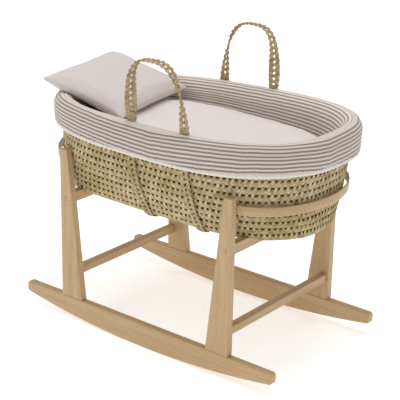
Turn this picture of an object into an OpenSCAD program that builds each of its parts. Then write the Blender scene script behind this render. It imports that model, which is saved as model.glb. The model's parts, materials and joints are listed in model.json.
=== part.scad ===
// Moses basket on a rocking stand, millimetres.
// +X runs to the foot end, -Y is the front side, +Z is up.
// The origin is on the floor, under the middle of the rockers.

/* [Stand] */
// Length of each rocker, tip to tip
rocker_length = 828; // [760:2:1000]
// Radius of the rocker's curved underside
rocker_radius = 2430; // [1800:10:3000]
// Height of the rocker's flat top edge
rocker_top = 64; // [54:1:78]
// Thickness of the rocker and leg boards
board = 20; // [16:0.5:24]
// Distance over the outer edges of the legs, along the stand
leg_pitch = 560; // [460:2:680]
// Height of the leg tops above the floor
leg_top = 477.5; // [430:0.5:560]
// Width of a leg where it stands on the rocker
leg_foot_w = 70; // [56:1:84]
// Width of a leg at its top
leg_head_w = 24; // [20:1:34]
// Height of the lower stretchers' centre lines
stretcher_z = 127; // [105:1:160]
// Depth of the lower stretchers
stretcher_h = 22; // [18:0.5:28]
// Thickness of the lower stretchers and of the support rails
bar_t = 21; // [17:0.5:26]
// Depth of the support rails
rail_h = 28; // [22:0.5:36]
// Height of the support rails' top faces
rail_top = 357; // [330:0.5:400]
// Distance from a leg's outer edge to the middle of a bar
bar_inset = 16; // [14:0.5:20]
// Height of the bent hoops
hoop_h = 24; // [20:0.5:30]
// Thickness of the bent hoops
hoop_t = 4.5; // [3.5:0.1:6]
// Distance from the leg tops down to the hoops
hoop_drop = 20.5; // [10:0.5:30]

/* [Fixings] */
// Diameter of the beech dowels
dowel_d = 8; // [6:0.5:10]
// Length of the beech dowels
dowel_l = 36; // [28:1:38]
// Diameter of the rail bolts
bolt_d = 6; // [5:0.5:8]
// Diameter of the rail bolts' heads
bolt_head_d = 10; // [9:0.5:13]
// Depth of the rail bolts' heads
bolt_head_h = 4; // [3:0.5:6]
// Thickness of the beech plugs over the bolt heads
plug_t = 4; // [3:0.5:6]
// Diameter of the barrel nuts
nut_d = 10; // [9:0.5:13]
// Diameter of the hoop screws
screw_d = 4; // [3:0.5:5]
// Length of the hoop screws under the head
screw_l = 18; // [14:0.5:20]

/* [Basket] */
// Length of the basket at the top of its wall
basket_l = 792; // [680:2:960]
// Width of the basket at the top of its wall
basket_w = 500; // [430:2:600]
// Length of the basket's base
base_l = 748; // [650:2:800]
// Width of the basket's base
base_w = 344; // [300:2:420]
// Height of the basket from its base to the top of its wall
basket_h = 231; // [200:1:280]
// How quickly the sides flare above the base
flare = 2.1; // [1.5:0.1:3]
// Squareness of the basket's outline, 2 being an ellipse
squareness = 2.7; // [2.3:0.1:3.2]
// Thickness of the coiled palm wall
wall_t = 12; // [9:0.5:15]
// Thickness of the coiled palm floor
floor_t = 15; // [14:0.5:18]
// Distance that the palm floor beds down over the rails
bed_in = 11; // [4:0.5:11]
// Distance from the middle of the stand to the middle of the basket
basket_x = 10; // [0:1:12]
// Thickness of the plaited border along the wall's top
border_d = 18; // [14:0.5:22]

/* [Handles] */
// Width over the outside of a handle loop
handle_w = 190; // [160:2:240]
// Height of a handle loop above the rim
handle_h = 164; // [140:2:220]
// Width of the plaited strap
strap_w = 26; // [20:0.5:32]
// Thickness of the plaited strap
strap_t = 4.5; // [3.5:0.1:5.5]
// Distance from the middle of the stand to the front handle
front_handle_x = 64; // [0:1:70]
// Distance from the middle of the stand to the back handle
back_handle_x = -31; // [-70:1:0]

/* [Liner] */
// Distance from the top of the wall up to the crest of the padded liner
crest_up = 28; // [25:0.5:36]
// Height that the rim gains from its middle to the foot end
rise_to_foot = 10; // [0:0.5:14]
// Height that the rim gains from its middle to the front side
rise_to_front = 5.5; // [0:0.5:9]
// Distance from the crest down to the skirt's hem
skirt_h = 76; // [60:1:100]
// Distance that the skirt stands out from the wall's top
skirt_out = 20; // [17:0.5:28]
// Thickness of the padded skirt
skirt_t = 9; // [6:0.5:10]
// Thickness of the padded lining inside the wall
lining_t = 22; // [10:0.5:26]
// Diameter of the elastic hem
hem_d = 11; // [8:0.5:14]

/* [Bedding] */
// Thickness of the mattress
mattress_t = 105; // [60:1:108]
// Thickness of the quilt
quilt_t = 80; // [50:1:84]
// Length of the pillow across the basket
pillow_l = 338; // [280:2:380]
// Width of the pillow along the basket
pillow_w = 262; // [220:2:290]
// Thickness of the pillow
pillow_t = 32; // [24:1:34]
// Slope of the pillow, up towards the head end
pillow_slope = 15.5; // [14:0.5:19]
// Turn of the pillow on the quilt
pillow_turn = 10; // [0:1:12]

/* [Hidden] */

// Clearances
dowel_gap = 0.05;
bolt_gap = 0.25;
soft_gap = 0.4;
leg_gap = 1.6;
hoop_gap = 10;
rail_gap = 0.3;

// Facets round each outline of the basket, and of small round parts
OUTLINE = 72;
ROUND = 32;

beech = "#c9a27a";
palm = "#bfa877";
linen = "#d3c9c1";
steel = "#9a9a98";

// Outline and wall of the basket
base_z = rail_top - bed_in;
wall_top = base_z + basket_h;
crest_z = wall_top + crest_up;
hem_z = crest_z - skirt_h;
floor_z = base_z + floor_t;
function rise(z) = min(1, max(0, (z - base_z) / basket_h));
function half_l(z) = base_l / 2 + (basket_l - base_l) / 2 * rise(z);
function half_w(z) = base_w / 2 + (basket_w - base_w) / 2 * (1 - pow(1 - rise(z), flare));
function power(v, e) = sign(v) * pow(abs(v), e);
function outline(a, b, z, n = OUTLINE) = [
    for (i = [0:n - 1])
        let (t = 360 * i / n)
        [basket_x + a * power(cos(t), 2 / squareness), b * power(sin(t), 2 / squareness), z]
];
// The rim leans a little, so everything above the hem is lifted by this much
function lean(x, y, z) =
    let (share = min(1, max(0, (z - hem_z - hem_d) / (wall_top - hem_z - hem_d))))
    share * (rise_to_foot * (x - basket_x) / (basket_l / 2) - rise_to_front * y / (basket_w / 2));
function leaned(p) = [p[0], p[1], p[2] + lean(p[0], p[1], p[2])];
function wall_y(x, z, out = 0) =
    let (a = half_l(z) + out, b = half_w(z) + out, u = min(1, abs(x - basket_x) / a))
    b * pow(1 - pow(u, squareness), 1 / squareness);
wall_levels = [for (i = [0:7]) base_z + 8 + (basket_h - 8) * i / 7];

// Stand, set round the basket
leg_in_x = leg_pitch / 2 - leg_head_w;
inner_y = wall_y(leg_in_x, leg_top) + leg_gap;
mid_y = inner_y + board / 2;
outer_y = inner_y + board;
bar_x = leg_pitch / 2 - bar_inset;
hoop_top = leg_top - hoop_drop;
hoop_mid_z = hoop_top - hoop_h / 2;
hoop_end_x = half_l(hoop_top) + basket_x + hoop_gap;
function leg_w(z) = leg_head_w + (leg_foot_w - leg_head_w) * (leg_top - z) / (leg_top - rocker_top);
function rocker_z(x) = rocker_radius - sqrt(rocker_radius * rocker_radius - x * x);
tip_r = 8;
tip_x = rocker_length / 2 - tip_r;
tip_low_z = rocker_radius - sqrt(pow(rocker_radius - tip_r, 2) - tip_x * tip_x);

// Handles, at rest leaning out a little
pivot_gap = 3;
handle_rest = 3.6;
rim_slope = atan(rise_to_foot / (basket_l / 2));
function pivot_z(x, y) = crest_z + lean(x, y, crest_z) + strap_t / 2 + pivot_gap;
pivot_y = half_w(wall_top) - wall_t / 2 + 1;

// Bedding
room = lining_t + wall_t + 3;
mattress_z = floor_z + soft_gap;
quilt_z = mattress_z + mattress_t + soft_gap;
quilt_top = quilt_z + quilt_t;

// A closed band whose cross-section is a loop of [half length, half width, height]
module band(section) {
    n = OUTLINE;
    m = len(section);
    points = [for (s = section, p = outline(s[0], s[1], s[2])) leaned(p)];
    faces = [
        for (j = [0:m - 1])
            for (i = [0:n - 1])
                let (k = (i + 1) % n, l = (j + 1) % m)
                each [[j * n + i, l * n + k, j * n + k], [j * n + i, l * n + i, l * n + k]]
    ];
    polyhedron(points, faces, convexity = 6);
}

// A closed solid through a stack of rings, the lowest first
module stack(rings) {
    n = len(rings[0]);
    m = len(rings);
    sides = [
        for (j = [0:m - 2])
            for (i = [0:n - 1])
                let (k = (i + 1) % n)
                each [[j * n + i, (j + 1) * n + k, j * n + k], [j * n + i, (j + 1) * n + i, (j + 1) * n + k]]
    ];
    bottom = [[for (i = [0:n - 1]) i]];
    top = [[for (i = [n - 1:-1:0]) (m - 1) * n + i]];
    polyhedron([for (r = rings) each r], concat(sides, bottom, top), convexity = 4);
}

// A dowel, bolt or screw shank along Y
module pin_y(d, l) {
    rotate([90, 0, 0])
        cylinder(d = d, h = l, center = true, $fn = ROUND);
}

// ---- Stand ----

module rocker(side) {
    color(beech)
        translate([0, side * mid_y + board / 2, 0])
            rotate([90, 0, 0])
                difference() {
                    linear_extrude(board)
                        union() {
                            intersection() {
                                translate([0, rocker_radius])
                                    circle(r = rocker_radius, $fn = 1440);
                                translate([-tip_x, -1])
                                    square([2 * tip_x, rocker_top + 1]);
                            }
                            for (end = [-1, 1]) {
                                for (z = [tip_low_z, rocker_top - tip_r])
                                    translate([end * tip_x, z])
                                        circle(r = tip_r, $fn = 64);
                                translate([end * (tip_x + tip_r / 2) - tip_r / 2, tip_low_z])
                                    square([tip_r, rocker_top - tip_r - tip_low_z]);
                            }
                        }
                    for (x = dowel_xs, end = [-1, 1])
                        translate([end * x, rocker_top - dowel_l / 2 - 1, board / 2])
                            rotate([-90, 0, 0])
                                cylinder(d = dowel_d + 2 * dowel_gap, h = dowel_l, $fn = ROUND);
                }
}

// Dowels that stand in the rocker, two under each leg
dowel_xs = [leg_pitch / 2 - 14, leg_pitch / 2 - leg_foot_w + 16];

module leg(end, side) {
    color(beech)
        difference() {
            translate([0, side * mid_y + board / 2, 0])
                rotate([90, 0, 0])
                    linear_extrude(board)
                        polygon([
                            [end * leg_pitch / 2, rocker_top],
                            [end * leg_pitch / 2, leg_top],
                            [end * leg_in_x, leg_top],
                            [end * (leg_pitch / 2 - leg_foot_w), rocker_top]
                        ]);
            for (x = dowel_xs)
                translate([end * x, side * mid_y, rocker_top - 1])
                    cylinder(d = dowel_d + 2 * dowel_gap, h = dowel_l / 2 + 2, $fn = ROUND);
            for (z = stretcher_dowel_zs)
                translate([end * bar_x, side * (inner_y + stretcher_bite / 2), z])
                    pin_y(dowel_d + 2 * dowel_gap, stretcher_bite + 1);
            translate([end * bar_x, side * mid_y, rail_mid_z])
                pin_y(bolt_d + 2 * bolt_gap, board + 2);
            translate([end * bar_x, side * (outer_y - head_room / 2 + 0.5), rail_mid_z])
                pin_y(bolt_head_d + 2 * bolt_gap, head_room + 1);
            for (x = screw_xs)
                translate([end * x, side * (inner_y + screw_bite / 2), hoop_mid_z])
                    pin_y(screw_d + 2 * dowel_gap, screw_bite + 1);
        }
}
rail_mid_z = rail_top - rail_h / 2;
head_room = plug_t + 0.5 + bolt_head_h;
stretcher_bite = board - 6;
stretcher_dowel_zs = [stretcher_z];
screw_bite = screw_l - hoop_t + 1;
screw_xs = [leg_pitch / 2 - leg_head_w / 2];

module stretcher(end) {
    color(beech)
        difference() {
            translate([end * bar_x, 0, stretcher_z])
                cube([bar_t, 2 * inner_y, stretcher_h], center = true);
            for (side = [-1, 1], z = stretcher_dowel_zs)
                translate([end * bar_x, side * (inner_y - dowel_l / 2 + stretcher_bite / 2), z])
                    pin_y(dowel_d + 2 * dowel_gap, dowel_l - stretcher_bite + 1);
        }
}

// The bolt reaches into the rail as far as its barrel nut
bolt_reach = 44;
nut_y = inner_y - bolt_reach + 8;

module support_rail(end) {
    color(beech)
        difference() {
            translate([end * bar_x, 0, rail_mid_z])
                cube([bar_t, 2 * inner_y, rail_h], center = true);
            for (side = [-1, 1]) {
                translate([end * bar_x, side * (inner_y - bolt_reach / 2), rail_mid_z])
                    pin_y(bolt_d + 2 * bolt_gap, bolt_reach + 2);
                translate([end * bar_x, side * nut_y, rail_mid_z - rail_h / 2 - 1])
                    cylinder(d = nut_d + 2 * dowel_gap, h = rail_h / 2 + nut_d / 2 + 3, $fn = ROUND);
            }
        }
}

// Half an ellipse in plan that leaves the legs along their inner faces
module hoop(end) {
    color(beech)
        difference() {
            translate([0, 0, hoop_top - hoop_h])
                linear_extrude(hoop_h)
                    polygon(concat(
                        hoop_edge(end, hoop_reach + hoop_t, inner_y, 1),
                        hoop_edge(end, hoop_reach, inner_y - hoop_t, -1)
                    ));
            for (side = [-1, 1], x = screw_xs)
                translate([end * x, side * inner_y, hoop_mid_z])
                    pin_y(screw_d + 2 * dowel_gap, 6 * hoop_t);
        }
}
hoop_reach = hoop_end_x - leg_in_x;
function hoop_inside_y(x) = (inner_y - hoop_t) * sqrt(1 - pow((x - leg_in_x) / hoop_reach, 2));
function hoop_edge(end, reach, y, way) = [
    for (i = [0:48])
        let (t = way * (-90 + 180 * i / 48))
        [end * (leg_in_x + reach * cos(t)), y * sin(t)]
];

// ---- Fixings ----

module leg_dowels() {
    color(beech)
        for (end = [-1, 1], side = [-1, 1], x = dowel_xs)
            translate([end * x, side * mid_y, rocker_top - dowel_l / 2])
                cylinder(d = dowel_d, h = dowel_l, $fn = ROUND);
}

module stretcher_dowels() {
    color(beech)
        for (end = [-1, 1], side = [-1, 1], z = stretcher_dowel_zs)
            translate([end * bar_x, side * (inner_y + stretcher_bite - dowel_l / 2), z])
                pin_y(dowel_d, dowel_l - 1);
}

module rail_bolts() {
    color(steel)
        for (end = [-1, 1], side = [-1, 1]) {
            translate([end * bar_x, side * (outer_y - head_room + bolt_head_h / 2), rail_mid_z])
                pin_y(bolt_head_d, bolt_head_h);
            translate([end * bar_x, side * (outer_y - head_room + inner_y - bolt_reach + 3) / 2, rail_mid_z])
                pin_y(bolt_d, board - head_room + bolt_reach - 1);
        }
}

// Beech plugs that hide the bolt heads, a hair below the legs' outer faces
module bolt_plugs() {
    color(beech)
        for (end = [-1, 1], side = [-1, 1])
            translate([end * bar_x, side * (outer_y - plug_t / 2 - 0.1), rail_mid_z])
                pin_y(bolt_head_d, plug_t);
}

module barrel_nuts() {
    color(steel)
        for (end = [-1, 1], side = [-1, 1])
            translate([end * bar_x, side * nut_y, rail_mid_z])
                difference() {
                    cylinder(d = nut_d, h = nut_d + 4, center = true, $fn = ROUND);
                    pin_y(bolt_d + 2 * dowel_gap, nut_d + 2);
                }
}

module hoop_screws() {
    head_d = 2 * screw_d;
    head_h = 2.2;
    color(steel)
        for (end = [-1, 1], side = [-1, 1], x = screw_xs)
            let (seat_y = hoop_inside_y(x + head_d / 2) - dowel_gap) {
                translate([end * x, side * (seat_y - head_h / 2), hoop_mid_z])
                    pin_y(head_d, head_h);
                translate([end * x, side * (seat_y + screw_l / 2 - 0.1), hoop_mid_z])
                    pin_y(screw_d, screw_l);
            }
}

// ---- Basket ----

// The palm beds down over the two support rails
module rail_room() {
    for (end = [-1, 1])
        translate([end * bar_x, 0, rail_top + rail_gap - bed_in])
            cube([bar_t + 2 * rail_gap, basket_w, 2 * bed_in], center = true);
}

module basket_floor() {
    color(palm)
        difference() {
            stack([
                outline(half_l(base_z) - 8, half_w(base_z) - 8, base_z),
                outline(half_l(base_z) - 2, half_w(base_z) - 2, base_z + 3),
                outline(half_l(base_z), half_w(base_z), wall_levels[0] - 0.1),
                outline(half_l(base_z) - wall_t - soft_gap, half_w(base_z) - wall_t - soft_gap, wall_levels[0]),
                outline(half_l(base_z) - wall_t - soft_gap, half_w(base_z) - wall_t - soft_gap, floor_z)
            ]);
            rail_room();
        }
}

module basket_wall() {
    color(palm)
        difference() {
            band(concat(
                [for (z = wall_levels) [half_l(z), half_w(z), z]],
                [for (i = [len(wall_levels) - 1:-1:0])
                    let (z = wall_levels[i])
                    [half_l(z) - wall_t, half_w(z) - wall_t, z]]
            ));
            rail_room();
        }
}

// A round border on top of the wall
module basket_border() {
    r = border_d / 2;
    color(palm)
        band([
            for (i = [0:9])
                let (t = 36 * i)
                [
                    half_l(wall_top) - wall_t / 2 + r * sin(t),
                    half_w(wall_top) - wall_t / 2 + r * sin(t),
                    wall_top + r + soft_gap - r * cos(t)
                ]
        ]);
}

// One flat strap up the outside of the wall, from under the floor, at x on the given side
module wall_strap(x, side) {
    under = 44;
    low_z = base_z - soft_gap;
    // Height, then the inner and outer distances from the wall, then the drop to the outer face
    levels = concat(
        [[low_z, -under, -under, strap_t], [low_z, -8, -5, strap_t], [base_z + 3, soft_gap, strap_t, 1.5]],
        [for (i = [0:len(wall_levels) - 2]) [wall_levels[i], soft_gap, soft_gap + strap_t, 0]],
        [[wall_top - 3, soft_gap, soft_gap + strap_t, 0]]
    );
    edges = [x - strap_w / 2, x + strap_w / 2];
    rows = [
        for (l = levels)
            [
                for (c = [[0, 0], [1, 0], [1, 1], [0, 1]])
                    let (u = edges[c[0]], y = wall_y(u, l[0]) + l[1 + c[1]])
                    leaned([u, side * y, l[0] - c[1] * l[3]])
            ]
    ];
    ribbon(rows, side);
}

// A solid through a row of four-cornered sections
module ribbon(rows, way = 1) {
    n = len(rows);
    sides = [
        for (j = [0:n - 2], i = [0:3])
            let (k = (i + 1) % 4)
            each [
                [4 * j + i, 4 * (j + 1) + k, 4 * j + k],
                [4 * j + i, 4 * (j + 1) + i, 4 * (j + 1) + k]
            ]
    ];
    ends = [
        [0, 1, 2],
        [0, 2, 3],
        [4 * n - 4, 4 * n - 2, 4 * n - 3],
        [4 * n - 4, 4 * n - 1, 4 * n - 2]
    ];
    faces = concat(sides, ends);
    polyhedron(
        [for (r = rows) each r],
        way > 0 ? faces : [for (f = faces) [f[0], f[2], f[1]]],
        convexity = 6
    );
}

module wall_straps(x, side) {
    color(palm)
        for (leg = [-1, 1])
            wall_strap(x + leg * (handle_w - strap_w) / 2, side);
}

// ---- Liner ----

// Sections are given as [distance outside the wall's top, height]
function lined(section) = [
    for (s = section) [half_l(wall_top) + s[0], half_w(wall_top) + s[0], s[1]]
];

module liner_skirt() {
    inside = skirt_out - skirt_t;
    middle = -wall_t / 2;
    color(linen)
        band(lined([
            [inside - 2, hem_z + hem_d],
            [skirt_out - 2, hem_z + hem_d],
            [skirt_out - 0.5, hem_z + 0.45 * skirt_h],
            [skirt_out, crest_z - 26],
            [skirt_out - 3, crest_z - 14],
            [skirt_out - 9, crest_z - 6],
            [skirt_out - 17, crest_z - 1.5],
            [middle, crest_z],
            [middle, crest_z - skirt_t],
            [inside - 8, crest_z - skirt_t - 1],
            [inside - 2, crest_z - skirt_t - 7],
            [inside, crest_z - skirt_t - 18]
        ]));
}

module liner_lining() {
    gap = wall_t + soft_gap;
    inside = gap + lining_t;
    foot = floor_z + soft_gap;
    low = [for (i = [1:5]) wall_levels[i]];
    section = concat(
        [[half_l(foot) - gap - 1.5, half_w(foot) - gap - 1.5, foot]],
        [for (z = low) [half_l(z) - gap, half_w(z) - gap, z]],
        lined([[-wall_t - border_d / 2, roll_z], [-inside, roll_z]]),
        [for (i = [4:-1:0]) let (z = low[i]) [half_l(z) - inside, half_w(z) - inside, z]],
        [[half_l(foot) - inside, half_w(foot) - inside, foot]]
    );
    color(linen)
        band(section);
}

// The padding that rolls over the border, from the crest down to the lining
module liner_roll() {
    inside = wall_t + soft_gap + lining_t;
    middle = -wall_t / 2 - soft_gap;
    color(linen)
        band(lined([
            [-wall_t - border_d / 2, roll_z + soft_gap],
            [-wall_t - border_d / 2, crest_z - skirt_t - 5],
            [middle, crest_z - skirt_t],
            [middle, crest_z],
            [middle - 9, crest_z - 2],
            [middle - 18, crest_z - 8],
            [middle - 24, crest_z - 18],
            [-inside, roll_z + soft_gap]
        ]));
}
roll_z = wall_top - 5;

// The gathered elastic edge along the bottom of the skirt
module hem_elastic() {
    r = hem_d / 2;
    mid = skirt_out - skirt_t / 2 - 2;
    color("#d8d5c8")
        band([
            for (i = [0:7])
                let (t = 45 * i + 22.5)
                [
                    half_l(wall_top) + mid + (r - 0.6) * sin(t),
                    half_w(wall_top) + mid + (r - 0.6) * sin(t),
                    hem_z + r - 0.1 - r * cos(t)
                ]
        ]);
}

// ---- Handles ----

// A flat strap that leaves the rim flat to the wall and is turned a quarter by its top.
// Its first shoulder is squarer than its second
function handle_line(t) =
    let (
        n = t < 90 ? 3.5 : 2.6,
        r = pow(pow(abs(cos(t)), n) + pow(sin(t), n), -1 / n)
    )
    [-(handle_w - strap_w) / 2 * r * cos(t), 0, (handle_h - strap_t) * r * sin(t)];
function handle_row(t) =
    let (
        p = handle_line(t),
        up = p[2] / (handle_h - strap_t),
        turn = t < 90 ? 90 * sin(90 * up) : 180 - 90 * sin(90 * up),
        d = handle_line(min(t + 0.5, 180)) - handle_line(max(t - 0.5, 0)),
        along = d / norm(d),
        flat = [cos(turn), sin(turn), 0],
        across = flat - (flat * along) * along,
        wide = across / norm(across) * strap_w / 2,
        thick = cross(along, wide / norm(wide)) * strap_t / 2
    )
    [p - wide - thick, p + wide - thick, p + wide + thick, p - wide + thick];

module handle(x, y) {
    steps = 44;
    color(palm)
        translate([x, y, pivot_z(x, y)])
            rotate([0, -rim_slope, 0])
                rotate([handle_rest, 0, y > 0 ? 180 : 0])
                    ribbon([for (i = [0:steps]) handle_row(180 * i / steps)], -1);
}

// ---- Bedding ----

module mattress() {
    l = half_l(mattress_z) - room;
    w = half_w(mattress_z) - room;
    color("white")
        stack([
            outline(l - 6, w - 6, mattress_z),
            outline(l, w, mattress_z + 8),
            outline(l, w, mattress_z + mattress_t - 8),
            outline(l - 6, w - 6, mattress_z + mattress_t)
        ]);
}

// Tucked down at its edges, and wider than the mattress because the wall flares
module quilt() {
    l = half_l(quilt_z + 12) - room;
    w = half_w(quilt_z + 12) - room;
    top_l = half_l(wall_top) - room - 5;
    top_w = half_w(wall_top) - room - 5;
    color(linen)
        stack([
            outline(l - 10, w - 10, quilt_z),
            outline(l, w, quilt_z + 12),
            outline(top_l, top_w, quilt_top - 14),
            outline(top_l - 4, top_w - 4, quilt_top - 5),
            outline(top_l - 14, top_w - 14, quilt_top)
        ]);
}

module pillow() {
    color(linen)
        translate([pillow_x, pillow_y, pillow_z])
            rotate([0, pillow_slope, pillow_turn])
                stack([
                    for (s = [[-1, 34], [-0.72, 14], [-0.25, 3], [0.25, 0], [0.72, 14], [1, 34]])
                        cushion_ring(s[0] * pillow_t / 2, s[1])
                ]);
}
// The head end of the pillow lies on the rim, and its other edge lies on the quilt
pillow_x = -half_l(wall_top) + basket_x + 96;
pillow_y = 0;
pillow_z = quilt_top + 21 + sin(pillow_slope) * pillow_w / 2;
function cushion_ring(z, inset) = [
    for (i = [0:35])
        let (t = 10 * i)
        [
            (pillow_w / 2 - inset) * power(cos(t), 0.4),
            (pillow_l / 2 - inset) * power(sin(t), 0.4),
            z
        ]
];

// ---- Assembly ----

rocker(-1);  // rocker_front
rocker(1);  // rocker_back
leg(-1, -1);  // leg_front_head
leg(1, -1);  // leg_front_foot
leg(-1, 1);  // leg_back_head
leg(1, 1);  // leg_back_foot
stretcher(-1);  // stretcher_head
stretcher(1);  // stretcher_foot
support_rail(-1);  // support_rail_head
support_rail(1);  // support_rail_foot
hoop(-1);  // hoop_head
hoop(1);  // hoop_foot
leg_dowels();
stretcher_dowels();
rail_bolts();
bolt_plugs();
barrel_nuts();
hoop_screws();
basket_floor();
basket_wall();
basket_border();
wall_straps(front_handle_x, -1);  // wall_straps_front
wall_straps(back_handle_x, 1);  // wall_straps_back
liner_skirt();
liner_roll();
liner_lining();
hem_elastic();
handle(front_handle_x, -pivot_y);  // handle_front
handle(back_handle_x, pivot_y);  // handle_back
mattress();
quilt();
pillow();
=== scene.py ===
# A palm Moses basket on a beech rocking stand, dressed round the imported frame. Sizes are in mm unless said.
import json
import math

import bmesh
import bpy
import numpy as np
from mathutils import Matrix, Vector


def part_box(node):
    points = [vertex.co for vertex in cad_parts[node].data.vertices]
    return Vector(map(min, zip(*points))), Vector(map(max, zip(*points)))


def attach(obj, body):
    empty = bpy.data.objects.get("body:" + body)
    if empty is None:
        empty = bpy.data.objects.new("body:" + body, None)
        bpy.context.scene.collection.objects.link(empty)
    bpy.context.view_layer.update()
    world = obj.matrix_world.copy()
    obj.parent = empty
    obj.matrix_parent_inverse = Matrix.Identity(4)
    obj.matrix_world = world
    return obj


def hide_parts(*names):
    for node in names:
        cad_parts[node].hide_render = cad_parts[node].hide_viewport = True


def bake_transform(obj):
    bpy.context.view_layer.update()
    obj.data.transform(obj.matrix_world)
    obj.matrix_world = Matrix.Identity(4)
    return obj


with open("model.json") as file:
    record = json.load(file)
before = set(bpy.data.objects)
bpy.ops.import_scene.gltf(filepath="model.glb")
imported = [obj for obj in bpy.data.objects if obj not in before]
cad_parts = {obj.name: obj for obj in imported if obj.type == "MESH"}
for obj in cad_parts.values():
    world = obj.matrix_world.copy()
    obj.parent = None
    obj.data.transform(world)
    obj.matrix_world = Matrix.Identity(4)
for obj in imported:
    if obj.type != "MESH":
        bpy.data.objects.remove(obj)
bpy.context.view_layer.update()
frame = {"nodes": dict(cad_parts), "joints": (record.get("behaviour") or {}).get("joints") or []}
turn = 2 * math.pi
print("frame loaded:", len(frame["nodes"]), "nodes")


def toLinear(hexColour):
    # each channel c from 0 to 1: c / 12.92 where it is dark, and ((c + 0.055) / 1.055) ^ 2.4 elsewhere
    parts = [int(hexColour[i:i + 2], 16) / 255 for i in (1, 3, 5)]
    return [c / 12.92 if c <= 0.04045 else ((c + 0.055) / 1.055) ** 2.4 for c in parts] + [1.0]


def addNode(tree, kind, settings=None, inputs=None):
    # one node: its own settings, then its inputs, each a value, a hex colour or another node's socket
    node = tree.nodes.new("ShaderNode" + kind)
    for name, value in (settings or {}).items():
        if name == "stops":
            ramp = node.color_ramp
            while len(ramp.elements) < len(value):
                ramp.elements.new(0.5)
            for element, (place, colour) in zip(ramp.elements, value):
                element.position = place
                element.color = toLinear(colour) if isinstance(colour, str) else (colour, colour, colour, 1)
        else:
            setattr(node, name, value)
    for name, value in (inputs or {}).items():
        if isinstance(value, bpy.types.NodeSocket):
            tree.links.new(value, node.inputs[name])
        elif isinstance(value, str):
            node.inputs[name].default_value = toLinear(value)
        else:
            node.inputs[name].default_value = value
    return node


def newMaterial(name):
    # a material whose nodes are all still to come
    material = bpy.data.materials.new(name)
    material.use_nodes = True
    material.node_tree.nodes.clear()
    return material, material.node_tree


def finishMaterial(tree, colour, height, bumpSize, inputs):
    # the shader, with a bump of bumpSize mm from a 0 to 1 height
    bump = addNode(tree, "Bump", None, {"Height": height, "Distance": bumpSize / 1000, "Strength": 1.0})
    shader = addNode(tree, "BsdfPrincipled", None,
                     {"Base Color": colour, "Normal": bump.outputs[0], **inputs})
    addNode(tree, "OutputMaterial", None, {"Surface": shader.outputs[0]})


def grid(points, wrap=(False, False), uv=None):
    # grids of points (..., rows, cols, 3) as four-cornered faces: corner (i, j) is point i * cols + j of its
    # grid, and wrap joins the last row or column to the first
    points = points.reshape((-1,) + points.shape[-3:])
    many, rows, cols = points.shape[:3]
    i, j = np.meshgrid(np.arange(rows - (not wrap[0])), np.arange(cols - (not wrap[1])), indexing="ij")
    i = np.stack([i, i, i + 1, i + 1], -1).reshape(-1, 4)
    j = np.stack([j, j + 1, j + 1, j], -1).reshape(-1, 4)
    quads = (i % rows) * cols + j % cols
    quads = (quads[None] + (np.arange(many) * rows * cols)[:, None, None]).reshape(-1, 4)
    if uv is None:
        uv = np.zeros((many, rows + 1, cols + 1, 2))
    uv = np.broadcast_to(uv, (many,) + uv.shape[-3:])
    return points.reshape(-1, 3), quads, uv[:, i, j].reshape(-1, 2)


def closed(points):
    # tubes (..., rows, cols, 3) with both ends drawn in to their middles
    first = np.repeat(points[..., :1, :, :].mean(-2, keepdims=True), points.shape[-2], -2)
    last = np.repeat(points[..., -1:, :, :].mean(-2, keepdims=True), points.shape[-2], -2)
    return np.concatenate([first, points, last], -3)


def makeMesh(name, parts):
    # joins parts, each its points in mm, its faces and their uv, into one mesh in metres that faces outwards
    base = np.cumsum([0] + [len(p[0]) for p in parts])
    co = np.concatenate([p[0] for p in parts]) / 1000
    quads = np.concatenate([p[1] + b for p, b in zip(parts, base)])
    uv = np.concatenate([p[2] for p in parts])
    mesh = bpy.data.meshes.new(name)
    mesh.vertices.add(len(co))
    mesh.vertices.foreach_set("co", co.astype(np.float32).ravel())
    mesh.loops.add(quads.size)
    mesh.loops.foreach_set("vertex_index", quads.astype(np.int32).ravel())
    mesh.polygons.add(len(quads))
    mesh.polygons.foreach_set("loop_start", np.arange(0, quads.size, 4, dtype=np.int32))
    mesh.uv_layers.new(name="UVMap").data.foreach_set("uv", uv.astype(np.float32).ravel())
    mesh.update(calc_edges=True)
    work = bmesh.new()
    work.from_mesh(mesh)
    bmesh.ops.remove_doubles(work, verts=work.verts, dist=2e-6)
    bmesh.ops.recalc_face_normals(work, faces=work.faces)
    work.to_mesh(mesh)
    work.free()
    mesh.validate()
    return mesh


def addPiece(name, mesh, body, material, replaced=(), blended=None, smooth=True):
    # mesh is a mesh, or the parts of one
    if isinstance(mesh, list):
        mesh = makeMesh(name, mesh)
    piece = bpy.data.objects.new(name, mesh)
    bpy.context.scene.collection.objects.link(piece)
    mesh.materials.clear()
    mesh.materials.append(material)
    mesh.polygons.foreach_set("use_smooth", np.full(len(mesh.polygons), smooth))
    if blended:
        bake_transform(piece)
    else:
        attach(piece, body)
    if replaced:
        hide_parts(*replaced)
    return piece


def ripple(u, waves, seed):
    # a sum of sines with whole numbers of waves in one turn, about -1 to 1
    rng = np.random.default_rng(seed)
    total = sum(rng.uniform(0.5, 1) * np.sin(turn * (n * u + rng.random())) for n in waves)
    return total / math.sqrt(len(waves))


def boxOf(node):
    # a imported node's lowest and highest corners, in mm
    low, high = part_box(node)
    return np.array(low) * 1000, np.array(high) * 1000


def between(value, low, high):
    # 0 at low, 1 at high, and 3 t^2 - 2 t^3 between them
    t = np.clip((value - low) / (high - low), 0, 1)
    return t * t * (3 - 2 * t)


tinting = {"data_type": "RGBA", "blend_type": "MULTIPLY"}    # a Mix that darkens one colour by another


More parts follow.
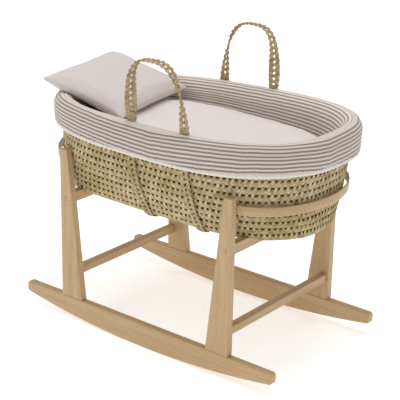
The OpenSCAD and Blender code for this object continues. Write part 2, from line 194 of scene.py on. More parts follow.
# Lacquered beech, planed: warm light brown, straight pores that show as short darker dashes, a satin shine
def makeBeech(name, axis):
    # noise stretched along the board's axis for the figure, and the same noise much finer for the pores
    material, tree = newMaterial(name)
    coordinates = addNode(tree, "TexCoord").outputs["UV" if axis == "uv" else "Object"]
    long, fine = 3.5, 95.0            # streaks about 280 mm long and 10 mm across
    scale = {"x": (long, fine, fine), "y": (fine, long, fine),
             "z": (fine, fine, long), "uv": (long, fine, 1)}[axis]
    streak = addNode(tree, "Mapping", None, {"Vector": coordinates, "Scale": scale})
    streaks = addNode(tree, "TexNoise", None, {"Vector": streak.outputs[0], "Scale": 1.0, "Detail": 5.0,
                                               "Roughness": 0.6, "Distortion": 0.35})
    # pores 7 mm long and 1.2 mm across, coarser than the real 3 by 0.2 mm so that they show
    pore = addNode(tree, "Mapping", None, {"Vector": coordinates, "Scale": tuple(
        v * (40 if v == long else 9) for v in scale)})
    pores = addNode(tree, "TexNoise", None, {"Vector": pore.outputs[0], "Scale": 1.0, "Detail": 1.0})
    dash = addNode(tree, "ValToRGB", {"stops": [(0.60, 0.0), (0.72, 1.0)]}, {"Fac": pores.outputs[0]})
    broad = addNode(tree, "TexNoise", None, {"Vector": coordinates, "Scale": 5.0, "Detail": 2.0})
    wood = addNode(tree, "ValToRGB", {"stops": [(0.28, "#bea27a"), (0.5, "#c8ad86"), (0.74, "#d1b994")]},
                   {"Fac": streaks.outputs[0]})
    warm = addNode(tree, "Mix", tinting, {0: broad.outputs[0], 6: wood.outputs[0], 7: "#f3e6d6"})
    dark = addNode(tree, "Mix", tinting, {0: dash.outputs[0], 6: warm.outputs[2], 7: "#e2cbab"})
    finishMaterial(tree, dark.outputs[2], streaks.outputs[0], 0.15,
                   {"Roughness": 0.42, "Specular IOR Level": 0.4, "Coat Weight": 0.12, "Coat Roughness": 0.3})
    return material


# Dried palm leaf strips, wound or plaited: straw to olive from strip to strip, matt, with fine long ribs
def makePalm(name, colours, shade):
    # the uv's u counts strips and v runs along them: u's whole part picks a strip's colour, and its fraction
    # is the place across the strip; shade is how dark the painted shade at a strip's edges goes
    material, tree = newMaterial(name)
    uv = addNode(tree, "TexCoord").outputs["UV"]
    split = addNode(tree, "SeparateXYZ", None, {0: uv})
    index = addNode(tree, "Math", {"operation": "FLOOR"}, {0: split.outputs[0]})
    across = addNode(tree, "Math", {"operation": "FRACT"}, {0: split.outputs[0]})
    tint = addNode(tree, "TexWhiteNoise", {"noise_dimensions": "1D"}, {"W": index.outputs[0]})
    straw = addNode(tree, "ValToRGB", {"stops": colours}, {"Fac": tint.outputs[0]})
    # painted shade: the strip's edges fall away, so their colour is darkened as if they catch less light
    edge = addNode(tree, "ValToRGB", {"stops": [(0.0, shade), (0.22, 1.0), (0.8, 1.0), (1.0, shade)]},
                   {"Fac": across.outputs[0]})
    edgeShadePainted = addNode(tree, "Mix", tinting, {0: 1.0, 6: straw.outputs[0], 7: edge.outputs[0]})
    place = addNode(tree, "TexCoord").outputs["Object"]
    blotch = addNode(tree, "TexNoise", None, {"Vector": place, "Scale": 55.0, "Detail": 3.0})
    spotted = addNode(tree, "ValToRGB", {"stops": [(0.3, "#c4b594"), (0.62, "#ffffff")]},
                      {"Fac": blotch.outputs[0]})
    mixed = addNode(tree, "Mix", tinting, {0: 0.55, 6: edgeShadePainted.outputs[2], 7: spotted.outputs[0]})
    broad = addNode(tree, "TexNoise", None, {"Vector": place, "Scale": 9.0, "Detail": 2.0})
    olive = addNode(tree, "ValToRGB", {"stops": [(0.42, 0.0), (0.7, 1.0)]}, {"Fac": broad.outputs[0]})
    final = addNode(tree, "Mix", tinting, {0: olive.outputs[0], 6: mixed.outputs[2], 7: "#e9e6cd"})
    rib = addNode(tree, "Mapping", None, {"Vector": uv, "Scale": (5.0, 0.6, 1.0)})
    ribs = addNode(tree, "TexNoise", None, {"Vector": rib.outputs[0], "Scale": 1.0, "Detail": 2.0})
    finishMaterial(tree, final.outputs[2], ribs.outputs[0], 0.7,
                   {"Roughness": 0.72, "Specular IOR Level": 0.3})
    return material


# Yarn-dyed cotton: taupe bands in an off-white ground, plain weave, matt with a faint fuzz
def makeStriped(name, stripe):
    # the uv's u is mm round the basket and v is mm from the crest: a band lies round the middle of each pitch
    material, tree = newMaterial(name)
    uv = addNode(tree, "TexCoord").outputs["UV"]
    split = addNode(tree, "SeparateXYZ", None, {0: uv})
    away = addNode(tree, "Math", {"operation": "ABSOLUTE"}, {0: split.outputs[1]})
    waver = 1.6                       # mm that a band strays up and down
    wobble = addNode(tree, "TexNoise", {"noise_dimensions": "1D"},
                     {"W": split.outputs[0], "Scale": 0.03, "Detail": 2.0})
    shifted = addNode(tree, "Math", {"operation": "MULTIPLY_ADD"},
                      {0: wobble.outputs[0], 1: waver, 2: away.outputs[0]})
    down = addNode(tree, "Math", {"operation": "SUBTRACT"},
                   {0: shifted.outputs[0], 1: stripe["plain"] + waver / 2})
    count = addNode(tree, "Math", {"operation": "DIVIDE"}, {0: down.outputs[0], 1: stripe["pitch"]})
    part = addNode(tree, "Math", {"operation": "FRACT"}, {0: count.outputs[0]})
    half, soft = stripe["dark"] / 2, 0.07
    band = addNode(tree, "ValToRGB", {"stops": [(0.5 - half - soft, 0.0), (0.5 - half + soft, 1.0),
                                                (0.5 + half - soft, 1.0), (0.5 + half + soft, 0.0)]},
                   {"Fac": part.outputs[0]})
    below = addNode(tree, "Math", {"operation": "GREATER_THAN"}, {0: down.outputs[0], 1: 0.0})
    above = addNode(tree, "Math", {"operation": "LESS_THAN"},
                    {0: down.outputs[0], 1: stripe["pitch"] * stripe["count"]})
    inside = addNode(tree, "Math", {"operation": "MULTIPLY"}, {0: below.outputs[0], 1: above.outputs[0]})
    # threads about 0.5 mm apart, drawn at 1.5 mm so that they show
    thread = addNode(tree, "Mapping", None, {"Vector": uv, "Scale": (0.66, 0.66, 1.0)})
    threads = addNode(tree, "TexNoise", None, {"Vector": thread.outputs[0], "Scale": 1.0, "Detail": 2.0})
    worn = addNode(tree, "Math", {"operation": "MULTIPLY_ADD"}, {0: threads.outputs[0], 1: 0.7, 2: 0.5})
    both = {"operation": "MULTIPLY", "use_clamp": True}
    amount = addNode(tree, "Math", both, {0: band.outputs[0], 1: inside.outputs[0]})
    dyed = addNode(tree, "Math", both, {0: amount.outputs[0], 1: worn.outputs[0]})
    cloth = addNode(tree, "Mix", {"data_type": "RGBA"},
                    {0: dyed.outputs[0], 6: stripe["ground"], 7: stripe["band"]})
    shade = addNode(tree, "ValToRGB", {"stops": [(0.3, 0.93), (0.7, 1.0)]}, {"Fac": threads.outputs[0]})
    woven = addNode(tree, "Mix", tinting, {0: 1.0, 6: cloth.outputs[2], 7: shade.outputs[0]})
    finishMaterial(tree, woven.outputs[2], threads.outputs[0], 0.35,
                   {"Roughness": 0.9, "Specular IOR Level": 0.2,
                    "Sheen Weight": 0.25, "Sheen Roughness": 0.6})
    return material


# Washed plain cotton, woven from mixed pale yarns: even and matt, a slight fuzz at grazing angles
def makeCotton(name, colours, slub=260.0, bumpSize=0.3):
    # two stretched noises crossed; a slub of 260 gives yarn knots about 4 by 2 mm, coarse enough to show
    material, tree = newMaterial(name)
    place = addNode(tree, "TexCoord").outputs["Object"]
    alongX = addNode(tree, "Mapping", None, {"Vector": place, "Scale": (slub, slub * 2.2, slub)})
    warp = addNode(tree, "TexNoise", None, {"Vector": alongX.outputs[0], "Scale": 1.0, "Detail": 3.0})
    alongY = addNode(tree, "Mapping", None, {"Vector": place, "Scale": (slub * 2.2, slub, slub)})
    weft = addNode(tree, "TexNoise", None, {"Vector": alongY.outputs[0], "Scale": 1.0, "Detail": 3.0})
    both = addNode(tree, "Math", {"operation": "MULTIPLY_ADD"},
                   {0: weft.outputs[0], 1: 0.5, 2: warp.outputs[0]})
    level = addNode(tree, "Math", {"operation": "MULTIPLY"}, {0: both.outputs[0], 1: 0.667})
    colour = addNode(tree, "ValToRGB", {"stops": colours}, {"Fac": level.outputs[0]})
    finishMaterial(tree, colour.outputs[0], level.outputs[0], bumpSize,
                   {"Roughness": 0.9, "Specular IOR Level": 0.2,
                    "Sheen Weight": 0.3, "Sheen Roughness": 0.55})
    return material


# Blackened zinc-plated steel, as bolts and screws are sold: dull, grey and slightly blotched
def makeZinc(name):
    # cloudy noise with patches about 2.5 mm across
    material, tree = newMaterial(name)
    place = addNode(tree, "TexCoord").outputs["Object"]
    cloud = addNode(tree, "TexNoise", None, {"Vector": place, "Scale": 400.0, "Detail": 2.0})
    colour = addNode(tree, "ValToRGB", {"stops": [(0.3, "#4a4844"), (0.7, "#6a6862")]},
                     {"Fac": cloud.outputs[0]})
    finishMaterial(tree, colour.outputs[0], cloud.outputs[0], 0.05, {"Metallic": 1.0, "Roughness": 0.45})
    return material


beechAlong = {axis: makeBeech("lacqueredBeech_" + axis, axis) for axis in ("x", "y", "z", "uv")}
coilPalm = makePalm("woundPalmLeaf", [(0.0, "#cbb48a"), (0.25, "#d8c4a1"), (0.5, "#c5ae86"), (0.7, "#e0cfad"),
                                      (0.88, "#c4b28d"), (1.0, "#ad956c")], 0.66)
plaitPalm = makePalm("plaitedPalmLeaf", [(0.0, "#c0a97e"), (0.35, "#d3be97"), (0.7, "#c8b289"),
                                         (1.0, "#decba7")], 0.6)
# the leaf backs behind the coils' holes, plain as a coarse cloth and dark brown: painted shade for the shadow
# in the holes
paintedShadePalm = makeCotton("shadedPalmInside", [(0.3, "#8a7148"), (0.7, "#a58c5e")], 60.0, 0.6)
# pitch and the plain edge by the crest are in mm, and dark is the band's share of the pitch
stripeSizes = dict(pitch=9.1, dark=0.47, plain=10.5, count=8.0, ground="#d9cfc5", band="#76665a")
# the lining is the skirt's cloth with its ground and bands painted lighter, to lift the shade that falls
# inside the basket
liningStripesPaintedLighter = dict(stripeSizes, plain=4.5, count=24.0, ground="#e8ded5", band="#877669")
skirtCloth = makeStriped("stripedCottonOutside", stripeSizes)
liningClothPaintedLighter = makeStriped("stripedCottonInside", liningStripesPaintedLighter)
hemCloth = makeCotton("elasticCottonHem", [(0.3, "#dcd8cd"), (0.7, "#ece8de")], 420.0, 0.4)
greigeCotton = makeCotton("washedGreigeCotton", [(0.34, "#cfc6c1"), (0.66, "#dbd3ce")], 330.0, 0.25)
# the quilt is the pillow's cotton painted lighter, to lift the shade that falls on it inside the basket
quiltCottonPaintedLighter = makeCotton("washedPaleCotton", [(0.34, "#ddd4cf"), (0.66, "#e8e0db")], 330.0, 0.25)
tickCotton = makeCotton("mattressTicking", [(0.3, "#e6e2d8"), (0.7, "#f3f0e8")], 300.0, 0.3)
zincSteel = makeZinc("blackenedZincSteel")
print("materials made")


stand = dict(legHead=24,                  # width of a leg at its top
             rockerRadius=2430, rockerCorner=8,
             bevel=2.0,
             hoopThick=4.5, hoopSides=16,
             plugRadius=5.0, plugHole=5.25, plugDeep=5.0)


def prism(name, outline, y0, y1):
    # a flat outline (x, z) carried along Y: two faces and one strip
    n = len(outline)
    points = np.concatenate([np.insert(outline, 1, y, axis=1) for y in (y0, y1)]) / 1000
    faces = [list(range(n)), list(range(2 * n - 1, n - 1, -1))]
    faces += [[(i + 1) % n, i, n + i, n + (i + 1) % n] for i in range(n)]
    mesh = bpy.data.meshes.new(name)
    mesh.from_pydata(points.tolist(), [], faces)
    work = bmesh.new()
    work.from_mesh(mesh)
    bmesh.ops.recalc_face_normals(work, faces=work.faces)
    work.to_mesh(mesh)
    work.free()
    return mesh


def roundEdges(piece, width):
    # a three-step bevel, width mm wide, on every edge that turns by more than 35 degrees
    modifier = piece.modifiers.new("edges", "BEVEL")
    modifier.width = width / 1000
    modifier.segments = 3
    modifier.limit_method = "ANGLE"
    modifier.angle_limit = math.radians(35)
    modifier.harden_normals = False
    piece.modifiers.new("normals", "WEIGHTED_NORMAL").keep_sharp = True


def applyModifiers(piece):
    # the piece's mesh becomes what its modifiers make of it
    graph = bpy.context.evaluated_depsgraph_get()
    graph.update()
    mesh = bpy.data.meshes.new_from_object(piece.evaluated_get(graph))
    piece.modifiers.clear()
    piece.data = mesh


def rockerOutline(low, high):
    # flat top, below it the arc z = R - sqrt(R^2 - x^2), and upright ends with both corners rounded
    radius, tipR = stand["rockerRadius"], stand["rockerCorner"]
    tipX = (high[0] - low[0]) / 2 - tipR
    x = np.linspace(-tipX, tipX, 60)
    arc = np.stack([x, radius - np.sqrt(radius ** 2 - x ** 2)], 1)
    lowZ = radius - math.sqrt((radius - tipR) ** 2 - tipX ** 2)
    a = np.linspace(-math.pi / 2 + 0.25, 0, 7)
    b = np.linspace(0, math.pi / 2, 8)
    tip = np.concatenate([np.stack([tipX + tipR * np.cos(c), z + tipR * np.sin(c)], 1)
                          for c, z in ((a, lowZ), (b, high[2] - tipR))])
    return np.concatenate([arc, tip, tip[::-1] * [-1, 1]])


for side in ("front", "back"):
    low, high = boxOf("rocker_" + side)
    piece = addPiece("rocker_" + side + "_wood", prism("rocker", rockerOutline(low, high), low[1], high[1]),
                     "stand", beechAlong["x"], ["rocker_" + side])
    roundEdges(piece, stand["bevel"])

plugLow, plugHigh = boxOf("bolt_plugs")
for side in ("front", "back"):
    for end in ("head", "foot"):
        low, high = boxOf(f"leg_{side}_{end}")
        way = 1 if end == "foot" else -1
        outer, inner = (high[0], low[0]) if way > 0 else (low[0], high[0])
        outline = np.array([[outer, low[2]], [outer, high[2]],
                            [outer - way * stand["legHead"], high[2]], [inner, low[2]]])
        piece = addPiece(f"leg_{side}_{end}_wood", prism("leg", outline, low[1], high[1]), "stand",
                         beechAlong["z"], [f"leg_{side}_{end}"])
        # a beech plug over the bolt's head sits in a round recess in the outer face
        face = low[1] if side == "front" else high[1]
        inwards = 1 if side == "front" else -1
        a = np.linspace(0, turn, 33)[:-1]
        rims = np.array([-6, stand["plugDeep"]]) * inwards + face    # the drill starts 6 mm outside the leg
        plugX = way * (plugHigh[0] - stand["plugRadius"])
        plugZ = (plugLow[2] + plugHigh[2]) / 2
        drill = np.stack([np.stack([plugX + stand["plugHole"] * np.cos(a), np.full(len(a), y),
                                    plugZ + stand["plugHole"] * np.sin(a)], 1) for y in rims])
        cutter = bpy.data.objects.new("cutter", makeMesh("cutter", [grid(closed(drill), (False, True))]))
        bpy.context.scene.collection.objects.link(cutter)
        cut = piece.modifiers.new("recess", "BOOLEAN")
        cut.object = cutter
        cut.solver = "EXACT"
        applyModifiers(piece)
        bpy.data.objects.remove(cutter)
        piece.data.polygons.foreach_set("use_smooth", np.full(len(piece.data.polygons), True))
        roundEdges(piece, stand["bevel"])

for node in ("stretcher_head", "stretcher_foot", "support_rail_head", "support_rail_foot"):
    low, high = boxOf(node)
    outline = np.array([[low[0], low[2]], [high[0], low[2]], [high[0], high[2]], [low[0], high[2]]])
    piece = addPiece(node + "_wood", prism(node, outline, low[1], high[1]), "stand",
                     beechAlong["y"], [node])
    roundEdges(piece, stand["bevel"])


# Hoop: a rounded flat section carried round half an ellipse; u runs along the strip, v across it
for node, way in (("hoop_head", -1), ("hoop_foot", 1)):
    low, high = boxOf(node)
    thick, tall = stand["hoopThick"], high[2] - low[2]
    start = boxOf("leg_front_foot")[1][0] - stand["legHead"]
    reach = (high[0] - start if way > 0 else -start - low[0]) - thick / 2
    half = high[1] - thick / 2
    t = np.linspace(-math.pi / 2, math.pi / 2, 97)[:, None]
    a = np.linspace(0, turn, stand["hoopSides"] + 1)[:-1][None]
    out = np.sign(np.cos(a)) * np.abs(np.cos(a)) ** 0.5 * thick / 2
    up = np.sign(np.sin(a)) * np.abs(np.sin(a)) ** 0.25 * tall / 2
    points = np.stack([way * (start + (reach + out) * np.cos(t)), (half + out) * np.sin(t),
                       (low[2] + high[2]) / 2 + up + 0 * t], -1)
    # the grain follows the strip: its uv is in metres, 0.55 along and 0.05 round the section
    uv = np.stack(np.broadcast_arrays(np.linspace(0, 0.55, 98)[:, None],
                                      np.linspace(0, 0.05, stand["hoopSides"] + 1)[None]), -1)
    uv = np.concatenate([uv[:1], uv, uv[-1:]])
    addPiece(node + "_wood", [grid(closed(points), (False, True), uv)], "stand", beechAlong["uv"],
             [node])

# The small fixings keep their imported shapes
for nodes, material in ((("leg_dowels", "stretcher_dowels", "bolt_plugs"), beechAlong["y"]),
                        (("rail_bolts", "barrel_nuts", "hoop_screws"), zincSteel)):
    for node in nodes:
        frame["nodes"][node].data.materials.clear()
        frame["nodes"][node].data.materials.append(material)
print("stand made")


wallLow, wallHigh = boxOf("basket_wall")
floorLow, floorHigh = boxOf("basket_floor")
basket = dict(
    centreX=(wallLow[0] + wallHigh[0]) / 2,
    topL=(wallHigh[0] - wallLow[0]) / 2, topW=(wallHigh[1] - wallLow[1]) / 2,
    baseL=(floorHigh[0] - floorLow[0]) / 2, baseW=(floorHigh[1] - floorLow[1]) / 2,
    baseZ=floorLow[2], topZ=floorLow[2] + 231,             # the palm wall
    hemZ=floorLow[2] + 183, crestZ=floorLow[2] + 259,      # the liner's skirt
    flare=2.1, square=2.7, wall=12,
    paceL=390.0, paceW=235.0,            # half sizes of the outline that spacing round the wall is even on
    toFoot=10, toFront=5.5, twist=7.0,   # how the rim leans
    headSquare=2.4, footUp=7,            # how the base departs from a plain oval
    bedHalf=11.2, bedEnd=19,             # from the middle of a rail: where the palm is pressed up, and is not
)


def power(value, exponent):
    # |value| ^ exponent with the sign of value
    return np.sign(value) * np.abs(value) ** exponent


def riseTo(z):
    # share of the wall's height: 0 at the base, 1 at the top
    return np.clip((z - basket["baseZ"]) / (basket["topZ"] - basket["baseZ"]), 0, 1)


def halfL(z):
    # half the wall's length at a height, which grows evenly from base to top
    return basket["baseL"] + (basket["topL"] - basket["baseL"]) * riseTo(z)


def halfW(z):
    # half its width, which grows by 1 - (1 - rise) ^ flare: fast above the base, and hardly at all by the rim
    return basket["baseW"] + (basket["topW"] - basket["baseW"]) * (1 - (1 - riseTo(z)) ** basket["flare"])


def lean(x, y, z):
    # the rim is a little higher towards the foot end and the front, and its far corners twist up
    share = np.clip((z - basket["hemZ"] - 11) / (basket["topZ"] - basket["hemZ"] - 11), 0, 1)
    along, across = (x - basket["centreX"]) / basket["topL"], y / basket["topW"]
    return share * (basket["toFoot"] * along - basket["toFront"] * across + basket["twist"] * along * across)


def superRing(t, a, b, z):
    # outline |x/a|^n + |y/b|^n = 1 at angle t, in plan, lifted by the rim's lean
    x = basket["centreX"] + a * power(np.cos(t), 2 / basket["square"])
    y = b * power(np.sin(t), 2 / basket["square"])
    x, y, z = np.broadcast_arrays(x, y, z)
    return np.stack([x, y, z + lean(x, y, z)], -1)


def fuller(x, y, z):
    # low down, the head end is pushed out to a squarer outline |x|^n + |y|^n = 1, with x and y as shares of
    # the half sizes
    n = basket["square"] + np.where(x < 0, basket["headSquare"] * (1 - riseTo(z)) ** 2, 0)
    return (np.abs(x) ** n + np.abs(y) ** n) ** (-1 / n)


def footTurn(x):
    # the base's foot end is turned up a little, over its last 100 mm or so
    return basket["footUp"] * between(x, 270, 372)


def onWall(t, z, out):
    # a point at height z, out from the wall's outer face
    x, y = power(np.cos(t), 2 / basket["square"]), power(np.sin(t), 2 / basket["square"])
    push = fuller(x, y, z)
    x = basket["centreX"] + (halfL(z) + out) * x * push
    y = (halfW(z) + out) * y * push
    z = z + 0 * x
    return np.stack([x, y, z + lean(x, y, z) + (1 - riseTo(z)) ** 2 * footTurn(x)], -1)


# Running length round the wall, for even spacing
dense = np.linspace(0, turn, 20001)
ringLine = superRing(dense, basket["paceL"], basket["paceW"], basket["baseZ"])
ringLength = np.concatenate([[0], np.cumsum(np.linalg.norm(np.diff(ringLine, axis=0), axis=1))])
perimeter = ringLength[-1]


def evenAngle(share):
    # the angle of a point that is this share of the way round, by length
    return np.interp(np.mod(share, 1) * perimeter, ringLength, dense)


def overRails(points):
    # the palm is pressed up where it beds over the support rails
    railLow, railHigh = boxOf("support_rail_foot")
    away = np.abs(np.abs(points[..., 0]) - (railLow[0] + railHigh[0]) / 2)
    press = 1 - between(away, basket["bedHalf"], basket["bedEnd"])
    lifted = points[..., 2] * (1 - press) + (railHigh[2] + 0.5) * press
    result = points.copy()
    result[..., 2] = np.maximum(points[..., 2], lifted)
    return result


# Coiled courses: each is a bundle wound with strips, an oval section carried round the wall. The strips are
# ridges that lean a little, and each course is tied to the next by stitches with holes between them
coil = dict(courses=12, fill=0.76,                       # fill is the bundle's share of a course's height
            strip=6.4, perStrip=4, ridge=0.7, slant=0.55, sides=12,
            stitch=15.4, stitchWide=4.3, tuck=4.2,       # tuck is how far a stitch runs on over a bundle
            seed=11)
courseH = (basket["topZ"] - basket["baseZ"]) / coil["courses"]
strips = round(perimeter / coil["strip"])


def windCourse(k):
    # course k: at angle a of its section it stands power(sin a, 0.8) half heights up and power(cos a, 0.8)
    # half depths out, and swells by |sin(pi count)|^0.7, where count is the number of strips round to there
    z0 = basket["baseZ"] + (k + 0.5) * courseH
    cols = strips * coil["perStrip"]
    u = np.arange(cols)[None] / cols
    a = (np.arange(coil["sides"]) / coil["sides"] * turn)[:, None]
    rng = np.random.default_rng(coil["seed"] + k)
    count = u * strips + coil["slant"] * np.sin(a) + 0.35 * ripple(u, (7, 11, 17), k)
    proud = np.abs(np.sin(math.pi * count)) ** 0.7
    thickness = rng.uniform(0.6, 1.25, strips)[np.floor(np.mod(count, strips)).astype(int) % strips]
    high = courseH / 2 * coil["fill"] + 0.35 * ripple(u, (3, 8, 19, 31), 40 + k)
    deep = basket["wall"] / 2 - 0.9 + 0.4 * ripple(u, (5, 13, 23), 60 + k)
    swell = coil["ridge"] * proud * thickness
    z = z0 + (high + swell * 0.4) * power(np.sin(a), 0.8)
    out = -basket["wall"] / 2 + (deep + swell) * power(np.cos(a), 0.8)
    sag = 1.1 * ripple(u, (2, 5, 9), 80 + k)
    points = onWall(evenAngle(u), z + sag, out)
    v = (np.arange(coil["sides"] + 1) / coil["sides"])[:, None]
    stripNumber = np.arange(cols + 1)[None] / coil["perStrip"] + coil["slant"] * np.sin(v * turn) + 700.0 * k
    uv = np.stack(np.broadcast_arrays(stripNumber, v), -1)
    return overRails(points) if k < 2 else points, uv


for k in range(coil["courses"]):
    points, uv = windCourse(k)
    piece = addPiece(f"coil_course_{k + 1:02d}", [grid(points, (True, True), uv)], "basket", coilPalm,
                     ["basket_wall"] if k == 0 else ())
print("courses wound:", coil["courses"])

# Stitches: short flat straps from one bundle to the next. r runs -1 to 1 along a strap, a round its section
count = round(perimeter / coil["stitch"])
rng = np.random.default_rng(coil["seed"])
k = np.arange(coil["courses"] - 1)[:, None, None, None]
i = np.arange(count)[None, :, None, None]
jitter = rng.uniform(-0.09, 0.09, (coil["courses"] - 1, count, 1, 1))
wide = coil["stitchWide"] * rng.uniform(0.85, 1.12, (coil["courses"] - 1, count, 1, 1))
r = np.linspace(-1, 1, 4)[None, None, :, None]
a = (np.arange(6) / 6 * turn)[None, None, None, :]
halfRun = courseH / 2 * (1 - coil["fill"]) + coil["tuck"]
share = (i + 0.5 * (k % 2) + jitter) / count + (wide * np.cos(a) + 1.6 * r) / perimeter
z = basket["baseZ"] + (k + 1) * courseH + r * halfRun + 0 * a + 0 * i
out = -2.1 + 0.9 * (1 - r ** 2) + 1.5 * np.sin(a) + 0 * i + 0 * k
tied = closed(onWall(evenAngle(share), z, out).reshape(-1, 4, 6, 3))
uv = np.zeros((coil["courses"] - 1, count, 7, 7, 2))
uv[..., 0] = k * 997 + i + np.abs(np.arange(7) - 3) / 3 * 0.9     # each stitch is a strip of its own
uv[..., 1] = np.linspace(0, 1, 7)[:, None]
addPiece("coil_stitches", [grid(tied, (False, True), uv.reshape(-1, 7, 7, 2))], "basket", coilPalm)

# Inner face of the coils, seen only through the holes between stitches, in dark painted shade
t = evenAngle(np.arange(360)[None] / 360)
z = np.linspace(basket["baseZ"] + 9, basket["topZ"] - 2, 12)[:, None]
inner = np.concatenate([onWall(t, z, -basket["wall"] + 1.5), onWall(t, z[::-1], -basket["wall"] + 0.2)])
addPiece("coil_inside", [grid(overRails(inner), (True, True))], "basket", paintedShadePalm)


# Floor: one flat spiral of the same coil, drawn as rings: ridged below, and plain on top
def windFloor():
    # s runs 0 to 1 from the middle to the edge; each of the rings is a ridge |sin(pi rings s)|^0.6 deep
    rings, perRing, cols = 9, 6, 420
    s = np.linspace(0.0, 1.0, rings * perRing + 1)[:, None]
    t = evenAngle(np.arange(cols)[None] / cols)
    ridge = np.abs(np.sin(math.pi * rings * s)) ** 0.6
    push = fuller(power(np.cos(t), 2 / basket["square"]), power(np.sin(t), 2 / basket["square"]),
                  basket["baseZ"])
    strip = np.abs(np.sin(math.pi * (np.arange(cols)[None] * 2.0 / 5 + s * 3))) * 0.5 * ridge
    edge = between(s, 0.93, 1.0) * 9
    zLow = basket["baseZ"] + 3.2 - 2.6 * ridge - strip + edge
    a, b = (basket["baseL"] - 8) * push * (0.02 + 0.98 * s), (basket["baseW"] - 4) * push * s + 0.01
    under = superRing(t, a, b, zLow)
    under[..., 2] += footTurn(under[..., 0])
    top = superRing(t, (a - 9)[::-1].clip(0.5), (b - 9)[::-1].clip(0.2), floorHigh[2] - 0.5 + 0 * s)
    rows = len(under) + len(top)
    uv = np.stack(np.broadcast_arrays(np.arange(cols + 1.0)[None], np.linspace(0, 20, rows + 1)[:, None]), -1)
    return closed(overRails(np.concatenate([under, top]))), np.concatenate([uv[:1], uv, uv[-1:]])


points, uv = windFloor()
addPiece("coil_floor", [grid(points, (False, True), uv)], "basket", coilPalm, ["basket_floor"])

# Border: a rope of leaf laid on top of the wall, two strands twisted, under the liner
t = evenAngle(np.arange(900)[None] / 900)
a = (np.arange(14) / 14 * turn)[:, None]
lay = np.arange(900)[None] / 900 * 60 * turn
radius = 7.4 + 0.9 * np.abs(np.cos(a - lay))
points = superRing(t, basket["topL"] - 6 + radius * np.cos(a), basket["topW"] - 6 + radius * np.cos(a),
                   basket["topZ"] + 9.4 + radius * np.sin(a))
uv = np.stack(np.broadcast_arrays(np.arange(901)[None] / 8.0, (np.arange(15) / 14)[:, None]), -1)
addPiece("rope_border", [grid(points, (True, True), uv)], "basket", plaitPalm, ["basket_border"])
print("basket made")


plait = dict(strands=4, turnLength=60.0,
             half=8.9, depth=1.6,                # how far a strand swings across, and over and under
             strandHalf=4.7, strandThick=1.3,
             step=2.2, sides=8)


def plaitAlong(path, wide, thick, seed, scale=None):
    # four flat strands: each swings across by sin p + 0.15 sin 3p, which keeps the edges straight, and goes
    # over and under by cos 3p, its phase p a quarter turn from the next
    length = np.concatenate([[0], np.cumsum(np.linalg.norm(np.diff(path, axis=0), axis=1))])
    steps = int(length[-1] / plait["step"])
    s = np.linspace(0, length[-1], steps)
    path, wide, thick = (np.stack([np.interp(s, length, v[:, c]) for c in range(3)], 1)
                         for v in (path, wide, thick))
    k = np.arange(plait["strands"])[:, None]
    phase = turn * (s[None] / plait["turnLength"] + k / plait["strands"])
    grow = np.ones(steps)[None] if scale is None else np.interp(s / length[-1], *scale)[None]
    swing = plait["half"] * grow * (np.sin(phase) + 0.15 * np.sin(3 * phase)) / 0.86
    over = plait["depth"] * np.cos(3 * phase)
    centre = path[None] + swing[..., None] * wide[None] + over[..., None] * thick[None]
    a = np.arange(plait["sides"]) / plait["sides"] * turn
    wobble = 1 + 0.1 * np.sin(turn * (s[None] / 37 + k * 0.3 + seed))
    ring = (plait["strandHalf"] * np.cos(a))[None, None] * (wobble * grow)[..., None]
    lift = (plait["strandThick"] * np.sin(a))[None, None] + 0 * ring
    points = (centre[:, :, None] + ring[..., None] * wide[None, :, None]
              + lift[..., None] * thick[None, :, None])
    rows, cols = steps + 2, plait["sides"]
    uv = np.zeros((plait["strands"], rows + 1, cols + 1, 2))
    # two strips of leaf lie side by side in each strand
    face = np.abs(np.arange(cols + 1) - cols / 2) / (cols / 2)
    uv[..., 0] = (k * 13 + seed * 101)[:, :, None] + face[None, None] * 1.98
    uv[..., 1] = np.linspace(0, length[-1] / 25, rows + 1)[None, :, None]
    return grid(closed(points), (False, True), uv)


# square and twist are for the handle's first side and its second
handle = dict(width=190, height=164, strap=26, thick=4.5, square=(3.5, 2.6), twist=(1.0, 1.7),
              restOut=3.6,                       # degrees that it leans outwards
              sink=9.0,                          # how far its roots go on below the hinge
              bands={"front": (6, 2), "back": (2, 2)}, bandStep=4.0, bandHalf=12.9, bandDeep=3.1)
sides = {"front": -1, "back": 1}


def wallY(x, z, out):
    # the wall's half width at x and z: |x/a|^n + |y/b|^n = 1 solved for y
    u = np.clip(np.abs(x - basket["centreX"]) / (halfL(z) + out), 0, 1)
    return (halfW(z) + out) * (1 - u ** basket["square"]) ** (1 / basket["square"])


# Wall straps: from under the floor, round the bottom edge and up the wall to the border
for name, side in sides.items():
    low, high = boxOf("handle_" + name)
    middle = (low[0] + high[0]) / 2
    parts = []
    for leg in (-1, 1):
        x = middle + leg * (handle["width"] - handle["strap"]) / 2
        z = np.linspace(basket["baseZ"] + 4, basket["topZ"] - 1, 60)
        up = np.stack([np.full(60, x), side * wallY(x, z, 3.6), z + lean(x, side * wallY(x, z, 3.6), z)], 1)
        edgeY = wallY(x, basket["baseZ"], 0)
        a = np.linspace(0, math.pi / 2, 8)[:-1]
        bend = np.stack([np.full(7, x), side * (edgeY - 3.4 + 7 * np.sin(a)),
                         basket["baseZ"] + 3.6 - 6.4 * np.cos(a)], 1)
        under = np.stack([np.full(6, x), side * np.linspace(edgeY - 44, edgeY - 8, 6),
                          np.full(6, basket["baseZ"] - 2.8)], 1)
        path = np.concatenate([under, bend, up])
        tangent = np.gradient(path, axis=0)
        tangent /= np.linalg.norm(tangent, axis=1)[:, None]
        wide = np.tile([1.0, 0, 0], (len(path), 1))
        parts.append(plaitAlong(path, wide, np.cross(tangent, wide) * side, 3 * leg + side))
    addPiece("wall_straps_" + name + "_plait", parts, "basket", plaitPalm, ["wall_straps_" + name])


